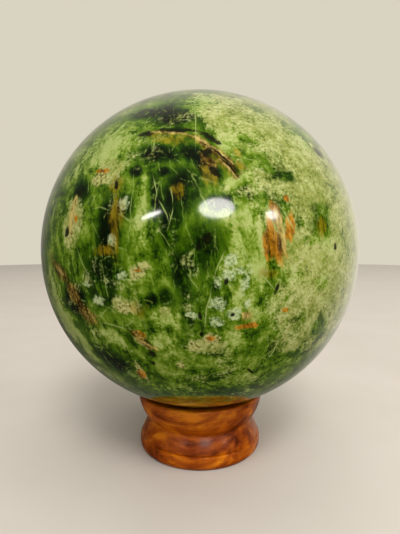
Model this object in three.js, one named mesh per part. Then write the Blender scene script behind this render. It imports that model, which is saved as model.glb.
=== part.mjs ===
// A polished stone sphere resting in the cup of a turned wooden stand.
// Millimetres, +Z up. The origin is the centre of the stand's underside.
import * as THREE from "three";

// Driving dimensions: the sphere, and the stand's height and widest ring.
const SPHERE_DIAMETER = 150;
const STAND_HEIGHT = 28.0;
const RIM_RADIUS = 31.3;

// Turned profile of the stand, from the table up.
const FOOT_RADIUS = 28.5;
const BEAD_RADIUS = 30.6;
const BEAD_MIDDLE = 3.2;
const BEAD_TOP = 6.4;
const BEAD_SHOULDER_RADIUS = 29.9;
const GROOVE_DEPTH = 0.6;
const GROOVE_WIDTH = 0.7;
const OVOLO_RADIUS = 29.6;
const OVOLO_BULGE = 0.5;
const WAIST_RADIUS = 26.2;
const WAIST_HEIGHT = 14.4;
const WAIST_LAND = 0.6;
const CUP_BULGE = 2.2;

// Cup that carries the sphere.
const LIP_ROUND = 1.0;
const LIP_WIDTH = 6.2;
const LIP_SLOPE = 0.75;
const SEAT_WIDTH = 4.5;
const RELIEF_STEP = 1.4;
const DISH_FLOOR = 20.5;
const SEAT_GAP = 0.3;

// Fineness of the faceted surfaces.
const SPHERE_DETAIL = 13;
const TURNED_SIDES = 48;
const CURVE_STEPS = 5;

const SPHERE_RADIUS = SPHERE_DIAMETER / 2;
const SEAT_RADIUS = SPHERE_RADIUS + SEAT_GAP;
const SEAT_OUTER = RIM_RADIUS - LIP_WIDTH;
const SEAT_INNER = SEAT_OUTER - SEAT_WIDTH;
const SEAT_EDGE_HEIGHT = STAND_HEIGHT - LIP_SLOPE;

// The sphere sinks into the cup until its surface meets the inner edge of the lip.
const SPHERE_CENTRE = SEAT_EDGE_HEIGHT + Math.sqrt(SEAT_RADIUS ** 2 - SEAT_OUTER ** 2);

// Height of the seat, a concave band that follows the sphere, at a given radius.
function seatHeight(radius) {
  return SPHERE_CENTRE - Math.sqrt(SEAT_RADIUS ** 2 - radius ** 2);
}

const stoneMaterial = new THREE.MeshStandardMaterial({ color: 0x6f8f45, roughness: 0.12, metalness: 0 });
const woodMaterial = new THREE.MeshStandardMaterial({ color: 0x9a4f14, roughness: 0.35, metalness: 0 });

// Foot, base bead and the groove above it.
function addBase(profile) {
  profile.moveTo(0, 0);
  profile.lineTo(FOOT_RADIUS, 0);
  profile.absellipse(FOOT_RADIUS, BEAD_MIDDLE, BEAD_RADIUS - FOOT_RADIUS, BEAD_MIDDLE, -Math.PI / 2, 0);
  const shoulder = BEAD_RADIUS - BEAD_SHOULDER_RADIUS;
  profile.absellipse(BEAD_SHOULDER_RADIUS, BEAD_MIDDLE, shoulder, BEAD_TOP - BEAD_MIDDLE, 0, Math.PI / 2);
  profile.lineTo(BEAD_SHOULDER_RADIUS - GROOVE_DEPTH, BEAD_TOP + GROOVE_WIDTH / 2);
}

// Convex curve from the profile's last point to (radius, height), standing proud of the straight line.
function bulgeTo(profile, radius, height, bulge) {
  const from = profile.currentPoint;
  const middle = (from.x + radius) / 2 + bulge;
  profile.quadraticCurveTo(middle, (from.y + height) / 2, radius, height);
}

// Ovolo above the groove, the waist, and the cup that swells out to the rim.
function addBody(profile) {
  profile.lineTo(OVOLO_RADIUS, BEAD_TOP + GROOVE_WIDTH);
  bulgeTo(profile, WAIST_RADIUS, WAIST_HEIGHT - WAIST_LAND / 2, OVOLO_BULGE);
  profile.lineTo(WAIST_RADIUS, WAIST_HEIGHT + WAIST_LAND / 2);
  bulgeTo(profile, RIM_RADIUS, STAND_HEIGHT - LIP_ROUND, CUP_BULGE);
}

// Rounded lip, the seat that the sphere rests on, and the shallow dish below it.
function addCup(profile) {
  profile.absarc(RIM_RADIUS - LIP_ROUND, STAND_HEIGHT - LIP_ROUND, LIP_ROUND, 0, Math.PI / 2);
  profile.lineTo(SEAT_OUTER, SEAT_EDGE_HEIGHT);
  profile.lineTo((SEAT_OUTER + SEAT_INNER) / 2, seatHeight((SEAT_OUTER + SEAT_INNER) / 2));
  profile.lineTo(SEAT_INNER, seatHeight(SEAT_INNER));
  profile.lineTo(SEAT_INNER - RELIEF_STEP, seatHeight(SEAT_INNER) - RELIEF_STEP);
  profile.quadraticCurveTo(SEAT_INNER / 2, DISH_FLOOR, 0, DISH_FLOOR);
}

function stand() {
  const profile = new THREE.Path();
  addBase(profile);
  addBody(profile);
  addCup(profile);
  const turned = new THREE.LatheGeometry(profile.getPoints(CURVE_STEPS), TURNED_SIDES);
  turned.rotateX(Math.PI / 2);
  const mesh = new THREE.Mesh(turned, woodMaterial);
  mesh.name = "wooden_stand";
  return mesh;
}

function sphere() {
  const ball = new THREE.IcosahedronGeometry(SPHERE_RADIUS, SPHERE_DETAIL);
  const mesh = new THREE.Mesh(ball, stoneMaterial);
  mesh.name = "stone_sphere";
  mesh.position.z = SPHERE_CENTRE;
  return mesh;
}

const decorativeSphere = new THREE.Group();
decorativeSphere.add(stand(), sphere());

export default decorativeSphere;
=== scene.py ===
"""Looks of a polished green stone sphere that rests in a turned wooden stand.

Metres, +Z up. The sphere and the stand take their places and sizes from the frame. What shows in the stone
is placed by the pixel where it shows in the photograph, whose frame is 400 by 534 pixels.
"""

import logging
import math
import random
from dataclasses import dataclass
from enum import Enum
from typing import Any, Iterator, Mapping, Sequence, Union

import bmesh
import bpy
from mathutils import Matrix, Vector


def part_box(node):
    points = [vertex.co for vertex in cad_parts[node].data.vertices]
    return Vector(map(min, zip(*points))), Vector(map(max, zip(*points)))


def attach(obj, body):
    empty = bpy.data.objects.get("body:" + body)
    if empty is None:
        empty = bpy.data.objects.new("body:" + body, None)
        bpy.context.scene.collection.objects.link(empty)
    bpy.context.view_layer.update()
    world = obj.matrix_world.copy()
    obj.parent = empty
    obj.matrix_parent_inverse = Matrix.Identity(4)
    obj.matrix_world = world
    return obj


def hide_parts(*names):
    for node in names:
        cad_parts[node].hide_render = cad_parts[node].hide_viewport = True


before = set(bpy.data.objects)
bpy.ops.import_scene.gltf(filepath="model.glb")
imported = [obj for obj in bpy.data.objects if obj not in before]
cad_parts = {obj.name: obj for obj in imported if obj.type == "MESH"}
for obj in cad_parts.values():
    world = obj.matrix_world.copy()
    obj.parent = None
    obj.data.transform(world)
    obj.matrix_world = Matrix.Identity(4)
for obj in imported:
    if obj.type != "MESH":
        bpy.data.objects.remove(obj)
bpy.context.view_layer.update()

log = logging.getLogger("decorative_sphere")

BODY = "root"
MM = 0.001
LAMP_TINT = (1.0, 0.97, 0.92)
NOISE_MEAN = 0.5

Colour = tuple[float, float, float, float]
Pixel = tuple[float, float]
Stops = tuple[tuple[float, Colour], ...]


def paint(red: int, green: int, blue: int) -> Colour:
    """Turns a paint chip's display values into a linear colour.

    Args:
        red: Display value from 0 to 255.
        green: Display value from 0 to 255.
        blue: Display value from 0 to 255.

    Returns:
        The linear colour with full alpha.
    """
    def linear(value: int) -> float:
        """Linear light of one display value."""
        share = value / 255
        return share / 12.92 if share <= 0.04045 else ((share + 0.055) / 1.055) ** 2.4

    return linear(red), linear(green), linear(blue), 1.0


class Value:
    """One output socket, so that shader maths reads as a Python expression."""

    def __init__(self, bench: "Bench", socket: bpy.types.NodeSocket) -> None:
        """Wraps a socket of the bench's node tree."""
        self.bench = bench
        self.socket = socket

    def _combine(self, operation: str, first: Any, second: Any) -> "Value":
        """Adds a Math or Vector Math node for two operands.

        Args:
            operation: The node's operation.
            first: A value or number for the first socket.
            second: A value or number for the second socket.

        Returns:
            The node's result.
        """
        if self.socket.type == "VALUE":
            return self.bench.add("ShaderNodeMath", {"operation": operation}, {0: first, 1: second})
        spread = [(term,) * 3 if isinstance(term, (int, float)) else term for term in (first, second)]
        return self.bench.add("ShaderNodeVectorMath", {"operation": operation}, dict(enumerate(spread)))

    def __add__(self, other: Any) -> "Value":
        """Sum."""
        return self._combine("ADD", self, other)

    def __radd__(self, other: Any) -> "Value":
        """Sum with a number on the left."""
        return self._combine("ADD", other, self)

    def __sub__(self, other: Any) -> "Value":
        """Difference."""
        return self._combine("SUBTRACT", self, other)

    def __rsub__(self, other: Any) -> "Value":
        """Difference with a number on the left."""
        return self._combine("SUBTRACT", other, self)

    def __mul__(self, other: Any) -> "Value":
        """Product."""
        return self._combine("MULTIPLY", self, other)

    def larger(self, other: Any) -> "Value":
        """The larger of two values."""
        return self._combine("MAXIMUM", self, other)

    def part(self, axis: str) -> "Value":
        """One component of a vector, named X, Y or Z."""
        return self.bench.add("ShaderNodeSeparateXYZ", {}, {0: self}, output=axis)

    def fade(self, start: float, end: float) -> "Value":
        """Rises smoothly from 0 where the value is start to 1 where it is end.

        Args:
            start: Value that gives 0.
            end: Value that gives 1, which may be the smaller one.

        Returns:
            The smooth step.
        """
        low, high, at_low, at_high = (start, end, 0.0, 1.0) if start < end else (end, start, 1.0, 0.0)
        limits = {"From Min": low, "From Max": high, "To Min": at_low, "To Max": at_high}
        settings = {"interpolation_type": "SMOOTHSTEP"}
        return self.bench.add("ShaderNodeMapRange", settings, {"Value": self, **limits})

    def ramp(self, *stops: tuple[float, Colour]) -> "Value":
        """Colours for the value, from a list of places and colours."""
        return self.bench.add("ShaderNodeValToRGB", {"stops": stops}, {0: self})

    def over(self, under: "Value", mask: "Value") -> "Value":
        """Lays this colour over another one where the mask is 1.

        Args:
            under: The colour below.
            mask: Share of this colour.

        Returns:
            The mixed colour.
        """
        sockets = {"Factor_Float": mask, "A_Color": under, "B_Color": self}
        return self.bench.add("ShaderNodeMix", {"data_type": "RGBA"}, sockets, output="Result_Color")


class Bench:
    """The node tree of one material or world, with one method that adds any node."""

    def __init__(self, owner: Union[bpy.types.Material, bpy.types.World]) -> None:
        """Starts an empty node tree.

        Args:
            owner: The material or world that the tree belongs to.
        """
        owner.use_nodes = True
        self.owner = owner
        self.tree = owner.node_tree
        self.tree.nodes.clear()

    def add(self, kind: str, settings: Mapping[str, Any], sockets: Mapping[Any, Any],
            output: Any = 0) -> Value:
        """Adds a node.

        Args:
            kind: The node's type.
            settings: The node's own properties, set first; a ramp's are its stops.
            sockets: Values or links by the input socket's name, identifier or number.
            output: Name, identifier or number of the output to return.

        Returns:
            The chosen output.
        """
        node = self.tree.nodes.new(kind)
        for name, setting in settings.items():
            if name == "stops":
                self._set_stops(node.color_ramp, setting)
            else:
                setattr(node, name, setting)
        for key, value in sockets.items():
            socket = self._find(node.inputs, key)
            if isinstance(value, Value):
                self.tree.links.new(value.socket, socket)
            else:
                socket.default_value = value
        return Value(self, self._find(node.outputs, output) if len(node.outputs) else None)

    @staticmethod
    def _find(sockets: Any, key: Any) -> bpy.types.NodeSocket:
        """The socket with that number, identifier or name."""
        if isinstance(key, int):
            return sockets[key]
        return next((socket for socket in sockets if socket.identifier == key), None) or sockets[key]

    @staticmethod
    def _set_stops(ramp: bpy.types.ColorRamp, stops: Sequence[tuple[float, Colour]]) -> None:
        """Gives a colour ramp its stops, in rising order."""
        while len(ramp.elements) < len(stops):
            ramp.elements.new(1.0)
        for element, (place, colour) in zip(ramp.elements, stops):
            element.position = place
            element.color = colour

    def point_mm(self, origin: Vector) -> Value:
        """Millimetres from a place on the object, from its Object coordinates.

        Args:
            origin: The place that becomes zero, in metres.

        Returns:
            The point as a vector.
        """
        place = self.add("ShaderNodeTexCoord", {}, {}, output="Object")
        sockets = {"Vector": place, "Location": tuple(-origin / MM), "Scale": (1 / MM,) * 3}
        return self.add("ShaderNodeMapping", {"vector_type": "POINT"}, sockets)

    def stretch(self, point: Value, turn_deg: Sequence[float], scale: Sequence[float]) -> Value:
        """A turned and stretched copy of a point, for a pattern with a grain.

        Args:
            point: The point in millimetres.
            turn_deg: Turn about each axis in degrees.
            scale: Scale along each axis, small along the grain.

        Returns:
            The changed point.
        """
        turn = tuple(math.radians(angle) for angle in turn_deg)
        sockets = {"Vector": point, "Rotation": turn}
        turned = self.add("ShaderNodeMapping", {"vector_type": "POINT"}, sockets)
        return turned * self.add("ShaderNodeCombineXYZ", {}, dict(enumerate(scale)))

    def as_point(self, vector: Value) -> Value:
        """The vector passed on as a point, so that placed shapes read it without a conversion each."""
        return self.add("ShaderNodeMapping", {"vector_type": "POINT"}, {"Vector": vector})

    def noise(self, point: Value, size_mm: float, detail: float = 4.0, rough: float = 0.55,
              output: str = "Fac") -> Value:
        """Soft noise.

        Args:
            point: Where to read it, in millimetres.
            size_mm: Rough size of its largest lumps.
            detail: Number of finer layers.
            rough: Weight of the finer layers.
            output: Fac for a value, Color for three values at once.

        Returns:
            The noise, about 0.5 on average.
        """
        sockets = {"Vector": point, "Scale": 1 / size_mm, "Detail": detail, "Roughness": rough}
        return self.add("ShaderNodeTexNoise", {"noise_dimensions": "3D"}, sockets, output=output)

    def wander(self, point: Value, size_mm: float, reach_mm: float) -> Value:
        """The point pushed about by soft noise, to give a pattern natural bends.

        Args:
            point: The point in millimetres.
            size_mm: Size of the bends.
            reach_mm: How far the point is pushed at most.

        Returns:
            The pushed point.
        """
        push = self.noise(point, size_mm, detail=2.0, output="Color")
        return point + (push - NOISE_MEAN) * (2 * reach_mm)

    def finish(self, sockets: Mapping[str, Any], bump: Value | None = None,
               depth_mm: float = 0.0) -> bpy.types.Material:
        """Ends the tree with a Principled shader.

        Args:
            sockets: The shader's values and links.
            bump: Height for the surface relief, if any.
            depth_mm: Depth of that relief.

        Returns:
            The finished material.
        """
        linked = dict(sockets)
        if bump is not None:
            linked["Normal"] = self.add("ShaderNodeBump", {}, {"Height": bump, "Distance": depth_mm * MM})
        shader = self.add("ShaderNodeBsdfPrincipled", {}, linked)
        self.add("ShaderNodeOutputMaterial", {}, {"Surface": shader})
        return self.owner


@dataclass(frozen=True)
class Viewpoint:
    """The photograph's viewing angle on the sphere.

    Attributes:
        centre: The sphere's centre in metres.
        radius: The sphere's radius in metres.
        frame_wide: The picture's width in pixels.
        frame_tall: The picture's height in pixels.
        focal: Focal length in pixels.
        distance_radii: Camera distance from the sphere's centre, in sphere radii.
        rise_deg: Camera height over the sphere's centre, as an angle.
        tilt_deg: How far the camera looks down.
    """

    centre: Vector
    radius: float
    frame_wide: int = 400
    frame_tall: int = 534
    focal: float = 400.0
    distance_radii: float = 2.706
    rise_deg: float = 1.7
    tilt_deg: float = 3.99

    @property
    def eye(self) -> Vector:
        """Where the camera stands."""
        rise = math.radians(self.rise_deg)
        toward = Vector((0, -math.cos(rise), math.sin(rise)))
        return self.centre + self.radius * self.distance_radii * toward

    def ray(self, pixel: Pixel) -> Vector:
        """Direction from the camera through a pixel.

        Args:
            pixel: The pixel's x and y.

        Returns:
            A unit vector.
        """
        tilt = math.radians(self.tilt_deg)
        ahead = Vector((0, math.cos(tilt), -math.sin(tilt)))
        up = Vector((0, math.sin(tilt), math.cos(tilt)))
        aside = Vector((1, 0, 0)) * (pixel[0] - self.frame_wide / 2)
        return (ahead * self.focal + aside + up * (self.frame_tall / 2 - pixel[1])).normalized()

    def on_sphere(self, pixel: Pixel) -> Vector:
        """The sphere's surface seen at a pixel, or its edge nearest to it.

        Args:
            pixel: The pixel's x and y.

        Returns:
            Millimetres from the sphere's centre.
        """
        ray = self.ray(pixel)
        start = self.eye - self.centre
        along = -start.dot(ray)
        closest = start + ray * along
        depth = self.radius ** 2 - closest.length_squared
        if depth > 0:
            closest -= ray * math.sqrt(depth)
        return closest.normalized() * self.radius / MM

    def mirrored(self, pixel: Pixel, distance: float) -> Vector:
        """Place whose mirror image shows at a pixel of the polished sphere.

        Args:
            pixel: The pixel's x and y.
            distance: Distance from the sphere's surface in metres.

        Returns:
            The place in metres.
        """
        surface = self.on_sphere(pixel) * MM
        ray = self.ray(pixel)
        out = surface.normalized()
        return self.centre + surface + (ray - 2 * ray.dot(out) * out) * distance

    def place_camera(self) -> bpy.types.Object:
        """Adds the scene's camera.

        Returns:
            The camera object.
        """
        camera = bpy.data.cameras.new("photo_view")
        camera.lens = camera.sensor_width * self.focal / max(self.frame_wide, self.frame_tall)
        holder = bpy.data.objects.new("photo_view", camera)
        holder.location = self.eye
        holder.rotation_euler = (math.radians(90 - self.tilt_deg), 0, 0)
        bpy.context.scene.collection.objects.link(holder)
        bpy.context.scene.camera = holder
        return holder


@dataclass(frozen=True)
class Lens:
    """An ellipsoid in the stone, in millimetres from the sphere's centre.

    Attributes:
        middle: Its centre.
        axes: Its three directions as the columns of a turn.
        halves: Its half sizes along them.
    """

    middle: Vector
    axes: Matrix
    halves: Vector

    def presence(self, bench: Bench, point: Value) -> Value:
        """How deep a point lies: 1 at the lens's centre, 0.5 on its skin, 0 at twice its size and beyond.

        Args:
            bench: The material's bench.
            point: The point in millimetres.

        Returns:
            The presence.
        """
        place = {"Location": tuple(self.middle), "Rotation": tuple(self.axes.to_euler()),
                 "Scale": tuple(self.halves * 2)}
        inside = bench.add("ShaderNodeMapping", {"vector_type": "TEXTURE"}, {"Vector": point, **place})
        settings = {"gradient_type": "SPHERICAL"}
        return bench.add("ShaderNodeTexGradient", settings, {"Vector": inside}, output="Fac")


@dataclass(frozen=True)
class Blotch:
    """A patch in the stone, placed by its pixel.

    Attributes:
        x: Pixel column of its middle.
        y: Pixel row of its middle.
        wide: Half its width in pixels.
        tall: Half its height in pixels.
        turn: Degrees anticlockwise in the picture.
    """

    x: float
    y: float
    wide: float
    tall: float
    turn: float = 0.0

    def lens(self, view: Viewpoint) -> Lens:
        """The patch as an ellipsoid.

        Args:
            view: The viewing angle that the pixels belong to.

        Returns:
            The ellipsoid.
        """
        turn = math.radians(self.turn)
        across = (self.wide * math.cos(turn), -self.wide * math.sin(turn))
        upward = (self.tall * math.sin(turn), self.tall * math.cos(turn))
        first = self._span(view, across)
        second = self._span(view, (-upward[0], -upward[1]))
        out = view.on_sphere((self.x, self.y)).normalized()
        side = (first - out * first.dot(out)).normalized()
        top = out.cross(side)
        halves = Vector((first.length, second.length, max(first.length, second.length)))
        return Lens(view.on_sphere((self.x, self.y)), Matrix((side, top, out)).transposed(), halves)

    def _span(self, view: Viewpoint, step: Pixel) -> Vector:
        """Half the way over the surface between two pixels beside the middle."""
        ahead = view.on_sphere((self.x + step[0], self.y + step[1]))
        back = view.on_sphere((self.x - step[0], self.y - step[1]))
        return (ahead - back) / 2


@dataclass(frozen=True)
class Seam:
    """A thin sheet in the stone that shows as a line between two pixels.

    Attributes:
        start: Pixel of one end.
        end: Pixel of the other end.
        thick: Half its thickness in millimetres.
    """

    start: Pixel
    end: Pixel
    thick: float

    def lens(self, view: Viewpoint) -> Lens:
        """The sheet as a flat ellipsoid that stands square to the surface.

        Args:
            view: The viewing angle that the pixels belong to.

        Returns:
            The ellipsoid.
        """
        first = view.on_sphere(self.start)
        last = view.on_sphere(self.end)
        middle = (first + last) / 2
        along = (last - first).normalized()
        out = along.cross(middle).normalized()
        reach = (last - first).length / 2
        axes = Matrix((along, out.cross(along), out)).transposed()
        return Lens(middle, axes, Vector((reach, reach, self.thick)))


class Mineral(Enum):
    """What the stone's patches and seams are made of. Some pale patches along the left edge are painted
    sheen, and the dark patches at the middle are partly a painted reflection of the dark camera side.
    """

    # DEPTH and INK also carry a painted reflection at the sphere's middle, and CLOUD carries painted sheen
    # along its left edge.
    DEPTH = "dark clear green"
    CLOUD = "pale green cloud"
    MOSS = "granular cream green"
    GLADE = "clear green in the moss"
    WHITE = "bluish white"
    CREAM = "cream"
    AMBER = "golden brown"
    UMBER = "dark brown"
    RUST = "rust"
    TAN = "pinkish tan"
    INK = "near black"
    VEIN = "pale healed crack"


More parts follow.
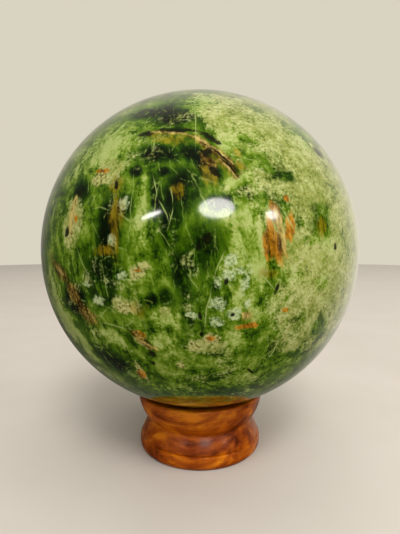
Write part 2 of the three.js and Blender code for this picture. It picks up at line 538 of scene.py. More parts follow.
SEEN_SIDE: Mapping[Mineral, tuple[Union[Blotch, Seam], ...]] = {
    Mineral.DEPTH: (
        # Dark patch at the sphere's middle: partly dark stone, partly a painted reflection of the dark
        # camera side.
        Blotch(x=204, y=240, wide=22, tall=20),
        Blotch(x=181, y=274, wide=10, tall=28, turn=8),
        Blotch(x=155, y=196, wide=8, tall=20, turn=14),
        Blotch(x=152, y=112, wide=26, tall=5, turn=8),
        Blotch(x=176, y=117, wide=20, tall=6),
        Blotch(x=160, y=153, wide=28, tall=9),
        Blotch(x=182, y=192, wide=20, tall=26),
        Blotch(x=172, y=226, wide=12, tall=24),
        Blotch(x=192, y=262, wide=18, tall=16),
        Blotch(x=101, y=282, wide=15, tall=32, turn=6),
        Blotch(x=166, y=298, wide=8, tall=9),
        Blotch(x=124, y=207, wide=10, tall=11),
        Blotch(x=226, y=203, wide=20, tall=8),
        Blotch(x=206, y=165, wide=10, tall=18, turn=30),
        Blotch(x=190, y=152, wide=22, tall=9, turn=-12),
        Blotch(x=112, y=268, wide=11, tall=20),
        Blotch(x=112, y=360, wide=20, tall=7, turn=-24),
        Blotch(x=243, y=194, wide=10, tall=11),
        Blotch(x=152, y=301, wide=7, tall=8),
        Blotch(x=135, y=172, wide=6, tall=6),
        Blotch(x=162, y=171, wide=6, tall=5),
        Blotch(x=108, y=232, wide=12, tall=36),
        Blotch(x=82, y=190, wide=7, tall=12),
        Blotch(x=76, y=300, wide=10, tall=16, turn=20),
    ),
    Mineral.CLOUD: (
        Blotch(x=144, y=208, wide=8, tall=28, turn=8),
        Blotch(x=242, y=222, wide=12, tall=34),
        Blotch(x=106, y=150, wide=24, tall=12, turn=30),
        Blotch(x=165, y=318, wide=12, tall=9),
        Blotch(x=163, y=340, wide=12, tall=8),
        Blotch(x=232, y=340, wide=14, tall=8),
        Blotch(x=254, y=292, wide=12, tall=18),
        Blotch(x=262, y=250, wide=8, tall=34),
        # Painted sheen: this pale patch sits on the sphere's upper-left edge and follows it, standing in
        # for the polish's reflection there.
        Blotch(x=72, y=150, wide=16, tall=30, turn=-40),
        Blotch(x=247, y=234, wide=9, tall=24),
        Blotch(x=246, y=292, wide=14, tall=12),
        Blotch(x=251, y=262, wide=13, tall=46),
        Blotch(x=318, y=262, wide=30, tall=26),
        Blotch(x=224, y=126, wide=12, tall=20),
        Blotch(x=202, y=102, wide=14, tall=8),
        Blotch(x=302, y=150, wide=12, tall=12),
        Blotch(x=238, y=182, wide=14, tall=7, turn=20),
        Blotch(x=112, y=336, wide=13, tall=4, turn=-30),
        # Painted sheen: these two thin pale bands follow the sphere's lower-left edge, standing in for the
        # polish's reflection there.
        Blotch(x=64, y=318, wide=4, tall=34, turn=26),
        Blotch(x=84, y=344, wide=3, tall=24, turn=38),
    ),
    Mineral.MOSS: (
        Blotch(x=342, y=250, wide=34, tall=74),
        Blotch(x=306, y=262, wide=22, tall=40, turn=10),
        Blotch(x=282, y=150, wide=34, tall=24, turn=-40),
        Blotch(x=252, y=108, wide=28, tall=14),
        Blotch(x=218, y=113, wide=15, tall=15),
        Blotch(x=304, y=268, wide=20, tall=16),
        Blotch(x=322, y=180, wide=26, tall=34, turn=30),
        Blotch(x=306, y=310, wide=22, tall=22, turn=30),
        Blotch(x=110, y=171, wide=12, tall=10),
        Blotch(x=73, y=222, wide=8, tall=26),
        Blotch(x=204, y=347, wide=20, tall=6),
        Blotch(x=282, y=346, wide=16, tall=10),
        Blotch(x=122, y=306, wide=14, tall=8),
        Blotch(x=166, y=312, wide=6, tall=5),
    ),
    Mineral.GLADE: (
        Blotch(x=322, y=220, wide=9, tall=22, turn=4),
        Blotch(x=286, y=177, wide=10, tall=5, turn=-20),
        Blotch(x=258, y=163, wide=12, tall=8, turn=-20),
        Blotch(x=308, y=241, wide=7, tall=6),
        Blotch(x=318, y=326, wide=8, tall=5, turn=30),
        Blotch(x=322, y=282, wide=7, tall=7),
    ),
    Mineral.WHITE: (
        Blotch(x=231, y=259, wide=6, tall=7, turn=-30),
        Blotch(x=229, y=276, wide=6, tall=5),
        Blotch(x=246, y=281, wide=5, tall=15, turn=-6),
        Blotch(x=219, y=303, wide=8, tall=6),
        Blotch(x=217, y=322, wide=7, tall=5),
        Blotch(x=235, y=314, wide=7, tall=5),
        Blotch(x=192, y=315, wide=8, tall=4, turn=-12),
        Blotch(x=217, y=284, wide=5, tall=6),
        Blotch(x=241, y=271, wide=6, tall=4),
        Blotch(x=248, y=303, wide=4, tall=6),
        Blotch(x=124, y=203, wide=5, tall=6),
        Blotch(x=112, y=239, wide=4, tall=7),
        Blotch(x=98, y=300, wide=7, tall=4, turn=-30),
        Blotch(x=122, y=276, wide=5, tall=3.5),
        Blotch(x=87, y=285, wide=3, tall=3),
    ),
    Mineral.CREAM: (
        Blotch(x=138, y=271, wide=11, tall=7, turn=42),
        Blotch(x=125, y=308, wide=10, tall=7),
        Blotch(x=211, y=340, wide=9, tall=5),
        Blotch(x=101, y=178, wide=7, tall=7),
        Blotch(x=141, y=371, wide=3, tall=8),
        Blotch(x=194, y=346, wide=6, tall=4),
        Blotch(x=181, y=365, wide=4, tall=4),
        Blotch(x=72, y=222, wide=3.5, tall=22),
        Blotch(x=210, y=148, wide=15, tall=1.4, turn=-38),
        Blotch(x=141, y=344, wide=11, tall=1.4, turn=-36),
    ),
    Mineral.AMBER: (
        Blotch(x=164, y=134, wide=18, tall=3.2, turn=2),
        Blotch(x=193, y=139, wide=18, tall=3.2, turn=-20),
        Blotch(x=172, y=139, wide=17, tall=3.6, turn=-4),
        Blotch(x=222, y=160, wide=21, tall=7, turn=-42),
        Blotch(x=116, y=222, wide=6, tall=28),
        Blotch(x=178, y=190, wide=6, tall=8),
        Blotch(x=209, y=175, wide=7, tall=11, turn=30),
        Blotch(x=140, y=309, wide=7, tall=8),
        Blotch(x=240, y=166, wide=7, tall=4, turn=-40),
        Blotch(x=236, y=152, wide=3, tall=5, turn=20),
        Blotch(x=116, y=184, wide=6, tall=8),
        Blotch(x=269, y=274, wide=9, tall=6),
        Blotch(x=104, y=250, wide=8, tall=5),
        Blotch(x=247, y=317, wide=5, tall=5),
        Blotch(x=322, y=226, wide=5, tall=9),
    ),
    Mineral.UMBER: (
        Blotch(x=204, y=143, wide=14, tall=2.6, turn=-30),
        Blotch(x=213, y=150, wide=14, tall=3.4, turn=-38),
        Blotch(x=228, y=165, wide=19, tall=5, turn=-46),
        Blotch(x=209, y=161, wide=5, tall=11, turn=40),
        Blotch(x=60, y=272, wide=18, tall=3.4, turn=-56),
        Blotch(x=73, y=292, wide=17, tall=4, turn=-58),
        Blotch(x=88, y=314, wide=13, tall=5, turn=-46),
        Blotch(x=141, y=340, wide=17, tall=3.4, turn=-38),
        Blotch(x=281, y=236, wide=1.6, tall=20, turn=8),
    ),
    Mineral.RUST: (
        Blotch(x=270, y=243, wide=6, tall=21, turn=-2),
        Blotch(x=279, y=248, wide=9, tall=15),
        Blotch(x=290, y=228, wide=5, tall=14, turn=-16),
        Blotch(x=276, y=212, wide=5, tall=13, turn=8),
        Blotch(x=139, y=335, wide=5, tall=3.5, turn=-20),
        Blotch(x=248, y=326, wide=11, tall=2.6, turn=8),
        Blotch(x=103, y=171, wide=7, tall=2.2),
        Blotch(x=136, y=270, wide=3, tall=2.2),
        Blotch(x=76, y=219, wide=1.6, tall=4),
        Blotch(x=286, y=198, wide=3, tall=4),
        Blotch(x=286, y=310, wide=3, tall=2),
        Blotch(x=142, y=374, wide=4, tall=3),
        Blotch(x=210, y=340, wide=4, tall=3),
    ),
    Mineral.TAN: (
        Blotch(x=279, y=222, wide=3, tall=18, turn=10),
        Blotch(x=284, y=240, wide=3, tall=16, turn=6),
        Blotch(x=168, y=132, wide=18, tall=1.2, turn=-1),
        Blotch(x=197, y=139, wide=15, tall=1.3, turn=-22),
        Blotch(x=217, y=151, wide=12, tall=1.4, turn=-40),
        Blotch(x=228, y=160, wide=11, tall=1.2, turn=-44),
        Blotch(x=230, y=171, wide=9, tall=1.0, turn=-48),
        Blotch(x=57, y=266, wide=10, tall=1.6, turn=-58),
        Blotch(x=246, y=316, wide=4, tall=4),
        Blotch(x=150, y=346, wide=9, tall=1.1, turn=-24),
        Blotch(x=73, y=212, wide=2.4, tall=16),
    ),
    Mineral.INK: (
        # The two near-black spots at the sphere's middle: partly dark stone, partly a painted reflection of
        # the dark camera side.
        Blotch(x=206, y=238, wide=7, tall=6, turn=20),
        Blotch(x=198, y=246, wide=4, tall=5),
        Blotch(x=146, y=134, wide=7, tall=2.6),
        Blotch(x=177, y=130, wide=18, tall=2.0, turn=-2),
        Blotch(x=211, y=138, wide=10, tall=3.2, turn=-28),
        Blotch(x=207, y=154, wide=5, tall=4, turn=30),
        Blotch(x=216, y=172, wide=3, tall=8, turn=34),
        Blotch(x=229, y=167, wide=14, tall=1.1, turn=-48),
        Blotch(x=221, y=156, wide=12, tall=1.0, turn=-42),
        Blotch(x=152, y=354, wide=6, tall=3, turn=-24),
        Blotch(x=153, y=363, wide=2.5, tall=2.5),
        Blotch(x=226, y=282, wide=2, tall=3),
        Blotch(x=202, y=335, wide=2, tall=3),
        Blotch(x=278, y=289, wide=2, tall=6, turn=-14),
        Blotch(x=200, y=316, wide=2, tall=4),
        Blotch(x=233, y=314, wide=2, tall=2),
        Blotch(x=319, y=153, wide=6, tall=1.6, turn=-40),
        Blotch(x=67, y=232, wide=1.6, tall=5),
        Blotch(x=117, y=184, wide=1.5, tall=4, turn=16),
        Blotch(x=251, y=371, wide=5, tall=1.4, turn=-34),
        Blotch(x=335, y=246, wide=1.2, tall=4),
    ),
    Mineral.VEIN: (
        Seam(start=(50, 226), end=(62, 190), thick=0.5),
        Seam(start=(60, 192), end=(84, 160), thick=0.45),
        Seam(start=(82, 162), end=(112, 142), thick=0.45),
        Seam(start=(108, 144), end=(146, 132), thick=0.45),
        Seam(start=(150, 172), end=(159, 198), thick=0.3),
        Seam(start=(158, 196), end=(170, 225), thick=0.3),
        Seam(start=(169, 225), end=(172, 205), thick=0.25),
        Seam(start=(172, 207), end=(171, 183), thick=0.25),
        Seam(start=(226, 245), end=(211, 285), thick=0.35),
        Seam(start=(212, 282), end=(203, 334), thick=0.35),
        Seam(start=(234, 240), end=(253, 268), thick=0.35),
        Seam(start=(251, 266), end=(280, 294), thick=0.35),
        Seam(start=(279, 294), end=(268, 311), thick=0.35),
        Seam(start=(279, 338), end=(266, 362), thick=0.35),
        Seam(start=(194, 98), end=(197, 158), thick=0.3),
        Seam(start=(99, 322), end=(130, 330), thick=0.4),
        Seam(start=(124, 327), end=(135, 320), thick=0.35),
        Seam(start=(76, 245), end=(90, 278), thick=0.4),
        Seam(start=(310, 305), end=(334, 296), thick=0.45),
        Seam(start=(279, 206), end=(297, 232), thick=0.4),
    ),
}


@dataclass(frozen=True)
class Scatter:
    """Patches of one mineral on the side that the photograph hides.

    Attributes:
        count: Number of patches.
        long_mm: Half length of the largest one.
        slim: Its width as a share of its length.
    """

    count: int
    long_mm: float
    slim: float

    def lenses(self, seed: str, radius_mm: float) -> Iterator[Lens]:
        """Places the patches, always in the same way for one seed.

        Args:
            seed: Name that fixes the choice.
            radius_mm: The sphere's radius.

        Returns:
            Each patch in turn.
        """
        dice = random.Random(seed)
        for _ in range(self.count):
            out = Vector((dice.gauss(0, 0.7), dice.uniform(0.2, 1.0), dice.gauss(0, 0.7))).normalized()
            loose = Vector((dice.gauss(0, 1), dice.gauss(0, 1), dice.gauss(0, 1)))
            side = (loose - out * loose.dot(out)).normalized()
            length = self.long_mm * dice.uniform(0.4, 1.0)
            halves = Vector((length, length * self.slim, length))
            yield Lens(out * radius_mm, Matrix((side, out.cross(side), out)).transposed(), halves)


HIDDEN_SIDE: Mapping[Mineral, Scatter] = {
    Mineral.DEPTH: Scatter(count=7, long_mm=16, slim=0.6),
    Mineral.CLOUD: Scatter(count=5, long_mm=18, slim=0.5),
    Mineral.MOSS: Scatter(count=6, long_mm=26, slim=0.6),
    Mineral.GLADE: Scatter(count=4, long_mm=10, slim=0.6),
    Mineral.WHITE: Scatter(count=6, long_mm=4, slim=0.6),
    Mineral.CREAM: Scatter(count=4, long_mm=5, slim=0.6),
    Mineral.AMBER: Scatter(count=5, long_mm=9, slim=0.4),
    Mineral.UMBER: Scatter(count=3, long_mm=8, slim=0.2),
    Mineral.RUST: Scatter(count=6, long_mm=11, slim=0.22),
    Mineral.TAN: Scatter(count=4, long_mm=8, slim=0.25),
    Mineral.INK: Scatter(count=6, long_mm=3, slim=0.4),
    Mineral.VEIN: Scatter(count=5, long_mm=22, slim=0.02),
}


class Edge(Enum):
    """What breaks up a deposit's outline."""

    CLEAN = "nothing"
    RAGGED = "mottle, grains and fibres"
    STREAKY = "mottle and fibres"


class Texture(Enum):
    """What drives a deposit's colours."""

    GRIT = "fine grains"
    FIBRE = "drawn-out fibres"
    MOTTLE = "soft mottle"
    STRANDS = "fibres with a few grains"
    GRAVEL = "fibres with many grains"


@dataclass(frozen=True)
class Deposit:
    """How one mineral lies over the stone's ground.

    Attributes:
        edge: What breaks up its outline.
        fray: How strongly the outline is broken up.
        start: Presence at which the mineral begins to show.
        full: Presence at which it shows in full.
        cover: Share of the ground that it then hides.
        texture: What drives its colours.
        stops: Its colours by the texture's value.
    """

    edge: Edge
    fray: float
    start: float
    full: float
    cover: float
    texture: Texture
    stops: Stops


DEPOSITS: Mapping[Mineral, Deposit] = {
    Mineral.WHITE: Deposit(
        edge=Edge.RAGGED, fray=2.0, start=0.38, full=0.8, cover=0.85, texture=Texture.GRIT,
        stops=((0.3, paint(140, 162, 116)), (0.6, paint(226, 232, 220))),
    ),
    Mineral.CREAM: Deposit(
        edge=Edge.RAGGED, fray=1.5, start=0.4, full=0.64, cover=0.9, texture=Texture.GRIT,
        stops=((0.4, paint(112, 96, 40)), (0.52, paint(214, 206, 160))),
    ),
    Mineral.AMBER: Deposit(
        edge=Edge.STREAKY, fray=1.6, start=0.3, full=0.8, cover=0.58, texture=Texture.FIBRE,
        stops=((0.4, paint(74, 60, 2)), (0.6, paint(186, 150, 24))),
    ),
    Mineral.RUST: Deposit(
        edge=Edge.STREAKY, fray=1.5, start=0.38, full=0.66, cover=0.92, texture=Texture.STRANDS,
        stops=(
            (0.38, paint(60, 30, 2)),
            (0.46, paint(150, 88, 4)),
            (0.54, paint(216, 136, 10)),
            (0.62, paint(228, 176, 84)),
        ),
    ),
    Mineral.UMBER: Deposit(
        edge=Edge.RAGGED, fray=2.2, start=0.38, full=0.68, cover=0.9, texture=Texture.GRAVEL,
        stops=((0.40, paint(34, 20, 2)), (0.50, paint(92, 60, 8)), (0.60, paint(190, 160, 96))),
    ),
    Mineral.TAN: Deposit(
        edge=Edge.STREAKY, fray=1.4, start=0.36, full=0.66, cover=0.85, texture=Texture.FIBRE,
        stops=((0.4, paint(112, 76, 20)), (0.58, paint(232, 202, 144))),
    ),
    # INK also lays the spots at the sphere's middle, which are partly a painted reflection of the dark
    # camera side.
    Mineral.INK: Deposit(
        edge=Edge.RAGGED, fray=2.0, start=0.4, full=0.7, cover=0.95, texture=Texture.MOTTLE,
        stops=((0.3, paint(6, 8, 2)), (0.7, paint(24, 22, 8))),
    ),
    Mineral.VEIN: Deposit(
        edge=Edge.CLEAN, fray=0.0, start=0.5, full=0.85, cover=0.75, texture=Texture.FIBRE,
        stops=((0.3, paint(150, 168, 96)), (0.7, paint(206, 214, 168))),
    ),
}


class Grain:
    """The stone's coordinates and noises, from which its pattern is mixed."""

    def __init__(self, bench: Bench, centre: Vector) -> None:
        """Adds the coordinates and the noises.

        Args:
            bench: The material's bench.
            centre: The sphere's centre in metres.
        """
        self.point = bench.point_mm(centre)
        gentle = bench.wander(self.point, size_mm=12, reach_mm=1.4)
        bent = bench.wander(gentle, size_mm=2.6, reach_mm=0.6)
        self.smooth = bench.as_point(gentle)
        self.near = bench.as_point(bent)
        flow = bench.wander(self.point, size_mm=26, reach_mm=9)
        self.cloud = bench.noise(flow, size_mm=22, detail=2)
        self.mottle = bench.noise(flow, size_mm=6, detail=6, rough=0.68)
        drawn = bench.stretch(gentle, turn_deg=(0, 10, 20), scale=(1, 1, 0.2))
        self.fibre = bench.noise(drawn, size_mm=2.4, detail=5, rough=0.7)
        self.grit = bench.noise(self.point, size_mm=1.0, detail=2, rough=0.7)
        self.ragged = self.mix(mottle=0.6, grit=0.4, fibre=0.3)

    def mix(self, **weights: float) -> Value:
        """Adds up noises about zero.

        Args:
            weights: Weight of each noise, by its name.

        Returns:
            The sum.
        """
        total = None
        for name, weight in weights.items():
            term = (getattr(self, name) - NOISE_MEAN) * weight
            total = term if total is None else total + term
        return total


@dataclass(frozen=True)
class PolishedStone:
    """Mottled green stone with a high polish.

    Attributes:
        view: Viewing angle that places what shows in the photograph.
        gloss: Roughness of the polished ground.
        dull: Roughness of the rust.
        refraction: Index of refraction of the stone.
        relief_mm: Depth of the polish's faint waves.
        tint: Share of each colour that the body sends back.
        crack_mm: Half width of the fine pale cracks.
        crack_cover: Share of the ground that a crack hides.
        depth_drop: How far dark fields lower the ground's tone; at the middle they are partly a painted
            reflection of the dark camera side.
        pale_lift: How far pale fields raise it; along the left edge they are painted sheen.
        glade_drop: How far clear patches in the moss lower it.
        moss_gain: How strongly a mossy field draws moss.
        moss_floor: How much the moss is held back everywhere.
        moss_glade: How much the clear patches hold it back.
        moss_cover: Share of the ground that the moss hides.
        dot_cover: Share of the moss that its dark dots hide.
        ground_stops: Colours of the ground, from dark to pale.
        crack_stops: Colours of the cracks.
        moss_stops: Colours of the moss.
        dot_stops: Colours of the dots.
    """

    view: Viewpoint
    gloss: float = 0.09
    dull: float = 0.2
    refraction: float = 1.5
    relief_mm: float = 0.05
    tint: tuple[float, float, float] = (0.66, 0.73, 0.46)
    crack_mm: float = 0.19
    crack_cover: float = 0.55
    depth_drop: float = 0.2
    pale_lift: float = 0.17
    glade_drop: float = 0.03
    moss_gain: float = 0.75
    moss_floor: float = 0.2
    moss_glade: float = 0.5
    moss_cover: float = 0.9
    dot_cover: float = 0.45
    ground_stops: Stops = (
        (0.28, paint(6, 20, 2)),
        (0.36, paint(28, 56, 3)),
        (0.43, paint(62, 94, 6)),
        (0.49, paint(90, 122, 18)),
        (0.55, paint(124, 150, 48)),
        (0.61, paint(160, 178, 92)),
        (0.68, paint(196, 206, 146)),
    )
    crack_stops: Stops = ((0.3, paint(110, 140, 40)), (0.7, paint(196, 206, 140)))
    moss_stops: Stops = (
        (0.38, paint(134, 148, 70)),
        (0.48, paint(178, 180, 114)),
        (0.60, paint(226, 222, 186)),
    )
    dot_stops: Stops = ((0.4, paint(46, 54, 12)), (0.6, paint(92, 96, 36)))

    def material(self) -> bpy.types.Material:
        """Builds the stone's material.

        Returns:
            The material.
        """
        bench = Bench(bpy.data.materials.new("green_stone_polish"))
        grain = Grain(bench, self.view.centre)
        near_glade = self._presence(bench, grain.near, Mineral.GLADE)
        glade = (near_glade + grain.ragged * 1.5).fade(0.25, 0.75)
        colour = self._ground(bench, grain, glade)
        colour = self._cracks(bench, grain, colour)
        colour = self._moss(bench, grain, glade, colour)
        colour, rust = self._deposits(bench, grain, colour)
        body = colour * bench.add("ShaderNodeCombineXYZ", {}, dict(enumerate(self.tint)))
        sockets = {
            "Base Color": body,
            "Roughness": self.gloss + rust * (self.dull - self.gloss),
            "IOR": self.refraction,
            "Coat Weight": 1.0,
            "Coat Roughness": self.gloss,
            "Coat IOR": self.refraction,
        }
        return bench.finish(sockets, bump=grain.cloud, depth_mm=self.relief_mm)

    def _ground(self, bench: Bench, grain: Grain, glade: Value) -> Value:
        """The green ground with its dark and pale fields; the pale fields include painted sheen along the
        left edge, and the dark ones are partly a painted reflection of the dark camera side at the middle.

        Args:
            bench: The material's bench.
            grain: The stone's noises.
            glade: Mask of the clear patches in the moss.

        Returns:
            The colour.
        """
        # depth includes the painted reflection of the dark camera side at the middle; pale includes the
        # painted sheen along the left edge.
        depth = (self._presence(bench, grain.near, Mineral.DEPTH) + grain.ragged).fade(0.25, 0.8)
        pale = (self._presence(bench, grain.near, Mineral.CLOUD) + grain.ragged).fade(0.25, 0.8)
        uneven = grain.mix(cloud=0.35, mottle=0.62, fibre=0.45, grit=0.22)
        fields = pale * self.pale_lift - depth * self.depth_drop - glade * self.glade_drop
        return (uneven + fields + NOISE_MEAN).ramp(*self.ground_stops)

    def _cracks(self, bench: Bench, grain: Grain, under: Value) -> Value:
        """Lays two nets of fine pale cracks over a colour.

        Args:
            bench: The material's bench.
            grain: The stone's noises.
            under: The colour below.

        Returns:
            The colour with cracks.
        """
        wide = self._hairs(bench, grain.smooth, apart_mm=15) * grain.mottle.fade(0.44, 0.56)
        close = self._hairs(bench, grain.near, apart_mm=6) * grain.fibre.fade(0.48, 0.62)
        return grain.mottle.ramp(*self.crack_stops).over(under, wide.larger(close) * self.crack_cover)

    def _moss(self, bench: Bench, grain: Grain, glade: Value, under: Value) -> Value:
        """Lays the granular moss and its dark dots over a colour.

        Args:
            bench: The material's bench.
            grain: The stone's noises.
            glade: Mask of the clear patches in the moss.
            under: The colour below.

        Returns:
            The colour with moss.
        """
        clump = bench.noise(grain.point, size_mm=13, detail=4, rough=0.65)
        reach = self._presence(bench, grain.near, Mineral.MOSS).fade(0.15, 0.75)
        speckle = (clump - NOISE_MEAN) * 2.4 + grain.mix(grit=0.9, mottle=0.9)
        held = reach * self.moss_gain - self.moss_floor - glade * self.moss_glade
        moss = (held + speckle).fade(0.0, 0.5)
        mossy = (grain.grit * 0.4 + grain.mottle * 0.6).ramp(*self.moss_stops)
        colour = mossy.over(under, moss * self.moss_cover)
        dots = bench.noise(grain.near, size_mm=1.5, detail=1).fade(0.4, 0.3) * reach
        return grain.mottle.ramp(*self.dot_stops).over(colour, dots * self.dot_cover)

    def _deposits(self, bench: Bench, grain: Grain, under: Value) -> tuple[Value, Value]:
        """Lays the spots, streaks and veins over a colour, one mineral after the other.

        Args:
            bench: The material's bench.
            grain: The stone's noises.
            under: The colour below.

        Returns:
            The colour with all deposits, and the mask of the rust.
        """
        edges = {Edge.RAGGED: grain.ragged, Edge.STREAKY: grain.mix(mottle=0.6, fibre=0.8)}
        textures = {
            Texture.GRIT: grain.grit,
            Texture.FIBRE: grain.fibre,
            Texture.MOTTLE: grain.mottle,
            Texture.STRANDS: grain.fibre * 0.8 + grain.grit * 0.2,
            Texture.GRAVEL: grain.fibre * 0.6 + grain.grit * 0.4,
        }
        colour = under
        masks: dict[Mineral, Value] = {}
        for mineral, deposit in DEPOSITS.items():
            if deposit.edge is Edge.CLEAN:
                presence = self._presence(bench, grain.smooth, mineral)
            else:
                frayed = edges[deposit.edge] * deposit.fray
                presence = self._presence(bench, grain.near, mineral) + frayed
            masks[mineral] = presence.fade(deposit.start, deposit.full)
            laid = textures[deposit.texture].ramp(*deposit.stops)
            colour = laid.over(colour, masks[mineral] * deposit.cover)
        return colour, masks[Mineral.RUST]

    def _hairs(self, bench: Bench, point: Value, apart_mm: float) -> Value:
        """A net of fine straight cracks, drawn out along the stone's grain.

        Args:
            bench: The material's bench.
            point: The point in millimetres.
            apart_mm: Rough distance between cracks.

        Returns:
            A mask that is 1 on the cracks.
        """
        drawn = bench.stretch(point, turn_deg=(0, 12, 25), scale=(1, 1, 0.45))
        sockets = {"Vector": drawn, "Scale": 1 / apart_mm, "Randomness": 1.0}
        settings = {"feature": "DISTANCE_TO_EDGE"}
        edge = bench.add("ShaderNodeTexVoronoi", settings, sockets, output="Distance")
        half = self.crack_mm / apart_mm
        return edge.fade(half, half / 4)

    def _presence(self, bench: Bench, point: Value, mineral: Mineral) -> Value:
        """How deep a point lies in the patches and seams of one mineral.

        Args:
            bench: The material's bench.
            point: The point in millimetres.
            mineral: Which mineral.

        Returns:
            The presence, over 0.5 inside.
        """
        lenses = [shape.lens(self.view) for shape in SEEN_SIDE[mineral]]
        lenses += HIDDEN_SIDE[mineral].lenses(mineral.name, self.view.radius / MM)
        deepest = lenses[0].presence(bench, point)
        for lens in lenses[1:]:
            deepest = deepest.larger(lens.presence(bench, point))
        return deepest


@dataclass(frozen=True)
class LacqueredWood:
    """Red-brown turned wood under clear satin lacquer.

    Attributes:
        heart: Place of the growth rings' centre, in metres.
        ring_mm: Spacing of the growth rings.
        ring_share: Weight of the rings in the tone; the figure has the rest.
        pore_cover: Share of the wood that a dark pore hides.
        smooth: Roughness of the wood where it is densest.
        soft: Added roughness of softer rings.
        lacquer: Weight of the lacquer's gloss.
        lacquer_rough: Roughness of the lacquer.
        refraction: Index of refraction of the wood.
        pore_mm: Depth of the pores.
        stops: Colours of the wood, from dark to pale.
        pore_stops: Colours of the pores.
    """

    heart: Vector
    ring_mm: float = 5.0
    ring_share: float = 0.6
    pore_cover: float = 0.5
    smooth: float = 0.3
    soft: float = 0.15
    lacquer: float = 0.16
    lacquer_rough: float = 0.2
    refraction: float = 1.3
    pore_mm: float = 0.03
    stops: Stops = (
        (0.36, paint(78, 24, 0)),
        (0.45, paint(134, 56, 0)),
        (0.54, paint(172, 84, 0)),
        (0.62, paint(206, 118, 4)),
    )
    pore_stops: Stops = ((0.0, paint(60, 18, 2)), (1.0, paint(80, 30, 4)))

    def material(self) -> bpy.types.Material:
        """Builds the wood's material.

        Returns:
            The material.
        """
        bench = Bench(bpy.data.materials.new("wood_lacquer"))
        point = bench.point_mm(self.heart)
        bent = bench.wander(point, size_mm=30, reach_mm=7)
        along = bench.stretch(bent, turn_deg=(0, 8, 12), scale=(0.12, 1, 1))
        rings = bench.noise(along, size_mm=self.ring_mm, detail=4, rough=0.6)
        figure = bench.noise(bent, size_mm=14, detail=3)
        drawn = bench.stretch(point, turn_deg=(0, 8, 12), scale=(0.08, 1, 1))
        pores = bench.noise(drawn, size_mm=0.7, detail=2)
        colour = (rings * self.ring_share + figure * (1 - self.ring_share)).ramp(*self.stops)
        colour = pores.ramp(*self.pore_stops).over(colour, pores.fade(0.42, 0.3) * self.pore_cover)
        sockets = {
            "Base Color": colour,
            "Roughness": self.smooth + rings * self.soft,
            "Coat Weight": self.lacquer,
            "Coat Roughness": self.lacquer_rough,
            "IOR": self.refraction,
        }
        return bench.finish(sockets, bump=pores, depth_mm=self.pore_mm)


@dataclass(frozen=True)
class PaleFloor:
    """Plain pale floor with a faint unevenness.

    Attributes:
        roughness: Roughness of the floor.
        stops: Its two nearly equal colours.
    """

    roughness: float = 0.55
    stops: Stops = ((0.3, paint(199, 192, 184)), (0.7, paint(204, 197, 190)))

    def material(self) -> bpy.types.Material:
        """Builds the floor's material.

        Returns:
            The material.
        """
        bench = Bench(bpy.data.materials.new("pale_floor"))
        point = bench.point_mm(Vector((0, 0, 0)))
        colour = bench.noise(point, size_mm=60, detail=3).ramp(*self.stops)
        return bench.finish({"Base Color": colour, "Roughness": self.roughness})


def piece(name: str, mesh: bmesh.types.BMesh, material: bpy.types.Material) -> bpy.types.Object:
    """Turns a finished bmesh into an object at the origin.

    Args:
        name: The object's name.
        mesh: The bmesh, which is freed.
        material: Its finish.

    Returns:
        The object.
    """
    data = bpy.data.meshes.new(name)
    mesh.to_mesh(data)
    mesh.free()
    data.materials.append(material)
    made = bpy.data.objects.new(name, data)
    bpy.context.scene.collection.objects.link(made)
    return made


@dataclass
class StoneSphere:
    """The polished ball.

    Attributes:
        centre: Its centre in metres.
        radius: Its radius in metres.
        fineness: Icosphere subdivisions.
    """

    centre: Vector
    radius: float
    fineness: int = 7

    def build(self) -> bpy.types.Object:
        """Models, dresses and places the ball.

        Returns:
            The ball's object.
        """
        mesh = bmesh.new()
        bmesh.ops.create_icosphere(mesh, subdivisions=self.fineness, radius=self.radius)
        bmesh.ops.translate(mesh, verts=mesh.verts, vec=self.centre)
        for face in mesh.faces:
            face.smooth = True
        ball = piece("polished_sphere", mesh, PolishedStone(Viewpoint(self.centre, self.radius)).material())
        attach(ball, BODY)
        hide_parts("stone_sphere")
        return ball


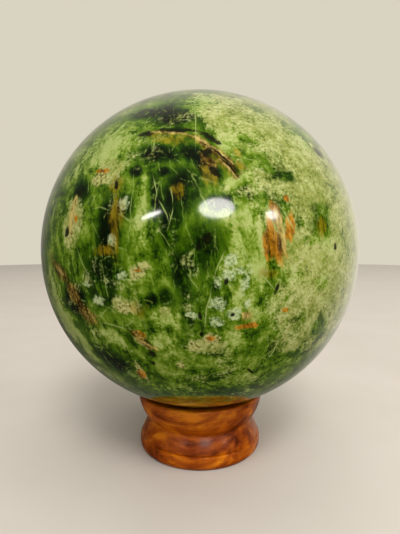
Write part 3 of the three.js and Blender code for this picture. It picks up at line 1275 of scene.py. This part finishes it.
@dataclass
class TurnedStand:
    """The turned wooden stand. Sizes in millimetres, from the table up.

    Attributes:
        sphere_centre: Height of the sphere's centre.
        sphere_radius: Radius of the sphere.
        height: Height of the lip.
        rim_radius: Radius of the widest ring.
        foot_radius: Radius of the flat underside.
        bead_radius: Radius of the base bead.
        bead_middle: Height of the bead's widest ring.
        bead_top: Height of the groove's lower edge.
        shoulder_radius: Radius of the bead at the groove.
        groove_depth: Depth of the groove.
        groove_width: Width of the groove.
        ovolo_radius: Radius just above the groove.
        ovolo_bulge: How far the ovolo stands proud of a straight taper.
        waist_radius: Radius of the waist.
        waist_height: Height of the waist.
        waist_land: Height of the waist's straight land.
        cup_bulge: How far the cup stands proud of a straight taper.
        lip_round: Radius of the rounded lip.
        lip_width: Width of the lip.
        seat_gap: Gap between seat and sphere.
        seat_width: Width of the seat.
        relief_step: Step below the seat.
        dish_floor: Height of the hollow's floor.
        sides: Steps around the axis.
        steps: Points along each curve of the profile.
        sharp_deg: Bend from which an edge shows as sharp.
        weld: Distance below which points are joined.
        heart: Place of the wood's growth rings.
    """

    sphere_centre: float
    sphere_radius: float
    height: float = 28.0
    rim_radius: float = 31.3
    foot_radius: float = 28.5
    bead_radius: float = 30.6
    bead_middle: float = 3.2
    bead_top: float = 6.4
    shoulder_radius: float = 29.9
    groove_depth: float = 0.6
    groove_width: float = 0.7
    ovolo_radius: float = 29.6
    ovolo_bulge: float = 0.5
    waist_radius: float = 26.2
    waist_height: float = 14.4
    waist_land: float = 0.6
    cup_bulge: float = 2.2
    lip_round: float = 1.0
    lip_width: float = 6.2
    seat_gap: float = 0.3
    seat_width: float = 4.5
    relief_step: float = 1.4
    dish_floor: float = 20.5
    sides: int = 144
    steps: int = 12
    sharp_deg: float = 32.0
    weld: float = 0.01
    heart: tuple[float, float, float] = (4.0, 12.0, -30.0)

    def build(self) -> bpy.types.Object:
        """Models, dresses and places the stand.

        Returns:
            The stand's object.
        """
        mesh = bmesh.new()
        points = [mesh.verts.new((radius * MM, 0, height * MM)) for radius, height in self._profile()]
        edges = [mesh.edges.new(pair) for pair in zip(points, points[1:])]
        bmesh.ops.spin(mesh, geom=points + edges, cent=(0, 0, 0), axis=(0, 0, 1), dvec=(0, 0, 0),
                       angle=2 * math.pi, steps=self.sides, use_merge=True, use_duplicate=False)
        bmesh.ops.remove_doubles(mesh, verts=mesh.verts, dist=self.weld * MM)
        bmesh.ops.recalc_face_normals(mesh, faces=mesh.faces)
        sharp = math.radians(self.sharp_deg)
        for face in mesh.faces:
            face.smooth = True
        for edge in mesh.edges:
            edge.smooth = edge.calc_face_angle(0.0) < sharp
        stand = piece("turned_stand", mesh, LacqueredWood(Vector(self.heart) * MM).material())
        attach(stand, BODY)
        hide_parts("wooden_stand")
        return stand

    def _profile(self) -> list[Pixel]:
        """Radius and height along the turned outline, from the underside's centre to the dish's centre."""
        points: list[Pixel] = [(0.0, 0.0)]
        foot = self.bead_radius - self.foot_radius
        points += self._arc(self.foot_radius, self.bead_middle, foot, self.bead_middle, -90)
        shoulder = self.bead_radius - self.shoulder_radius
        rise = self.bead_top - self.bead_middle
        points += self._arc(self.shoulder_radius, self.bead_middle, shoulder, rise, 0)[1:]
        points.append((self.shoulder_radius - self.groove_depth, self.bead_top + self.groove_width / 2))
        points.append((self.ovolo_radius, self.bead_top + self.groove_width))
        waist = (self.waist_radius, self.waist_height - self.waist_land / 2)
        points += self._bulge(points[-1], waist, self.ovolo_bulge)
        points.append((self.waist_radius, self.waist_height + self.waist_land / 2))
        points += self._bulge(points[-1], (self.rim_radius, self.height - self.lip_round), self.cup_bulge)
        points += self._arc(self.rim_radius - self.lip_round, self.height - self.lip_round, self.lip_round,
                            self.lip_round, 0)[1:]
        return points + self._seat()

    def _seat(self) -> list[Pixel]:
        """The lip's slope, the seat that follows the sphere, and the shallow dish below it."""
        outer = self.rim_radius - self.lip_width
        inner = outer - self.seat_width
        reach = self.sphere_radius + self.seat_gap
        points = []
        for step in range(self.steps + 1):
            radius = outer + (inner - outer) * step / self.steps
            points.append((radius, self.sphere_centre - math.sqrt(reach ** 2 - radius ** 2)))
        edge = (inner - self.relief_step, points[-1][1] - self.relief_step)
        points.append(edge)
        middle = (inner / 2, self.dish_floor)
        return points + self._curve(edge, middle, (0.0, self.dish_floor))

    def _arc(self, radius: float, height: float, wide: float, tall: float, start_deg: float) -> list[Pixel]:
        """A quarter of an ellipse about (radius, height), anticlockwise from an angle in degrees."""
        angles = (math.radians(start_deg + 90 * step / self.steps) for step in range(self.steps + 1))
        return [(radius + wide * math.cos(angle), height + tall * math.sin(angle)) for angle in angles]

    def _bulge(self, start: Pixel, end: Pixel, proud: float) -> list[Pixel]:
        """A convex curve between two points of the outline, without its first point."""
        middle = ((start[0] + end[0]) / 2 + proud, (start[1] + end[1]) / 2)
        return self._curve(start, middle, end)

    def _curve(self, start: Pixel, middle: Pixel, end: Pixel) -> list[Pixel]:
        """A quadratic curve between two points, without its first point."""
        points = []
        for step in range(1, self.steps + 1):
            share = step / self.steps
            spot = Vector(start) * (1 - share) ** 2
            spot += Vector(middle) * 2 * share * (1 - share)
            spot += Vector(end) * share ** 2
            points.append((spot.x, spot.y))
        return points


@dataclass(frozen=True)
class Lamp:
    """A soft lamp, placed so that its mirror image shows at a pixel of the sphere.

    Attributes:
        name: The lamp's name.
        x: Pixel column of its image's middle.
        y: Pixel row of its image's middle.
        wide: Half its image's width in pixels.
        tall: Half its image's height in pixels.
        turn: Its image's turn in degrees.
        distance: Distance from the sphere in metres.
        glow: Power for each square metre.
    """

    name: str
    x: float
    y: float
    wide: float
    tall: float
    turn: float
    distance: float
    glow: float

    def add(self, view: Viewpoint) -> bpy.types.Object:
        """Adds the lamp.

        Args:
            view: The viewing angle that the pixels belong to.

        Returns:
            The lamp's object.
        """
        turn = math.radians(self.turn)
        across = (self.wide * math.cos(turn), -self.wide * math.sin(turn))
        upward = (-self.tall * math.sin(turn), -self.tall * math.cos(turn))
        spot = view.mirrored((self.x, self.y), self.distance)
        side = view.mirrored((self.x + across[0], self.y + across[1]), self.distance) - spot
        top = view.mirrored((self.x + upward[0], self.y + upward[1]), self.distance) - spot
        back = (spot - view.centre).normalized()
        right = (side - back * side.dot(back)).normalized()
        light = bpy.data.lights.new(self.name, "AREA")
        light.shape = "ELLIPSE"
        light.size = 2 * side.length
        light.size_y = 2 * top.length
        light.energy = self.glow * light.size * light.size_y
        light.color = LAMP_TINT
        holder = bpy.data.objects.new(self.name, light)
        axes = Matrix((right, back.cross(right), back)).transposed()
        holder.matrix_world = Matrix.Translation(spot) @ axes.to_4x4()
        holder.visible_camera = False
        bpy.context.scene.collection.objects.link(holder)
        return holder


@dataclass(frozen=True)
class Softbox:
    """A large soft lamp that leaves no image on polished surfaces.

    Attributes:
        name: The lamp's name.
        place: Where it stands, in metres.
        side: Length of its square's side in metres.
        power: Its power in watts.
    """

    name: str
    place: tuple[float, float, float]
    side: float
    power: float

    def add(self, view: Viewpoint) -> bpy.types.Object:
        """Adds the lamp.

        Args:
            view: The viewing angle, whose sphere the lamp faces.

        Returns:
            The lamp's object.
        """
        light = bpy.data.lights.new(self.name, "AREA")
        light.shape = "SQUARE"
        light.size = self.side
        light.energy = self.power
        light.color = LAMP_TINT
        holder = bpy.data.objects.new(self.name, light)
        holder.location = self.place
        holder.rotation_euler = (holder.location - view.centre).to_track_quat("Z", "Y").to_euler()
        holder.visible_camera = False
        holder.visible_glossy = False
        bpy.context.scene.collection.objects.link(holder)
        return holder


@dataclass
class Studio:
    """Plain pale floor, soft light and the camera.

    Attributes:
        view: The photograph's viewing angle.
        floor_radius: Radius of the floor in metres.
        floor_drop: How far the floor lies below the stand, in metres.
        floor_sides: Sides of the floor's rim.
        backdrop: Colour behind the object.
        front_glow: Brightness of the camera's side, as a share of the backdrop's.
        back_glow: Added brightness of the far side.
        top_glow: Added brightness from above.
        low_share: Share of the far side's brightness that is left low down.
        low_lean: How much further up the low part reaches on the left.
        high_drop: Share of the far side's brightness that is lost high up.
        lamps: Lamps whose images show on the sphere.
        softboxes: Large lamps that leave no image on the sphere.
    """

    view: Viewpoint
    floor_radius: float = 1.6
    floor_drop: float = 0.0001
    floor_sides: int = 96
    backdrop: Colour = paint(217, 211, 193)
    front_glow: float = 0.03
    back_glow: float = 1.1
    top_glow: float = 0.1
    low_share: float = 0.15
    low_lean: float = 0.4
    high_drop: float = 0.3
    lamps: tuple[Lamp, ...] = (
        Lamp("main_lamp", x=217, y=208, wide=18, tall=10, turn=0, distance=3, glow=22),
        Lamp("strip_lamp", x=151, y=215, wide=11, tall=1.8, turn=20, distance=3, glow=42),
        Lamp("side_lamp", x=272, y=215, wide=6, tall=4, turn=0, distance=3, glow=34),
    )
    softboxes: tuple[Softbox, ...] = (
        Softbox("top_box", place=(0.2, -0.3, 3.0), side=3.4, power=60.0),
        Softbox("right_box", place=(2.4, -1.2, 1.7), side=2.0, power=32.0),
        Softbox("left_box", place=(-2.2, -1.6, 1.3), side=2.0, power=13.0),
        Softbox("front_box", place=(0.3, -1.85, 2.4), side=1.0, power=48.0),
    )

    def build(self) -> Iterator[bpy.types.Object]:
        """Adds the floor, the lamps, the surroundings and the camera.

        Returns:
            Each object in turn.
        """
        mesh = bmesh.new()
        bmesh.ops.create_circle(mesh, cap_ends=True, segments=self.floor_sides, radius=self.floor_radius)
        bmesh.ops.translate(mesh, verts=mesh.verts, vec=(0, 0, -self.floor_drop))
        floor = piece("pale_floor", mesh, PaleFloor().material())
        floor.visible_glossy = False
        yield floor
        for lamp in self.lamps:
            yield lamp.add(self.view)
        for box in self.softboxes:
            yield box.add(self.view)
        self._surround()
        yield self.view.place_camera()

    def _surround(self) -> None:
        """Pale surroundings, dark on the camera's side so that the stone keeps its depth."""
        bench = Bench(bpy.data.worlds.new("studio"))
        toward = bench.add("ShaderNodeTexCoord", {}, {}, output="Generated")
        aside = toward.part("X")
        upward = toward.part("Z")
        behind = toward.part("Y").fade(0.05, 0.75)
        above = upward.fade(0.1, 0.9)
        risen = (upward + aside * self.low_lean).fade(-0.55, 0.15)
        lit = aside.fade(-1.4, 0.45) * (self.low_share + risen * (1 - self.low_share))
        lit = lit * (1 - upward.fade(0.1, 0.6) * self.high_drop)
        seen = bench.add("ShaderNodeLightPath", {}, {}, output="Is Camera Ray")
        glow = self.front_glow + behind * lit * self.back_glow + above * self.top_glow
        glow = glow * (1 - seen) + seen
        ground = bench.add("ShaderNodeBackground", {}, {"Color": self.backdrop, "Strength": glow})
        bench.add("ShaderNodeOutputWorld", {}, {"Surface": ground})
        bpy.context.scene.world = bench.owner
        bpy.context.scene.view_settings.view_transform = "Standard"


def main() -> None:
    """Builds every piece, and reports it."""
    logging.basicConfig(level=logging.INFO, format="%(message)s")
    low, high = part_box("stone_sphere")
    centre = (low + high) / 2
    radius = (high.x - low.x) / 2
    log.info("made %s", StoneSphere(centre, radius).build().name)
    log.info("made %s", TurnedStand(centre.z / MM, radius / MM).build().name)
    for made in Studio(Viewpoint(centre, radius)).build():
        log.info("made %s", made.name)


if __name__ == "__main__":
    main()
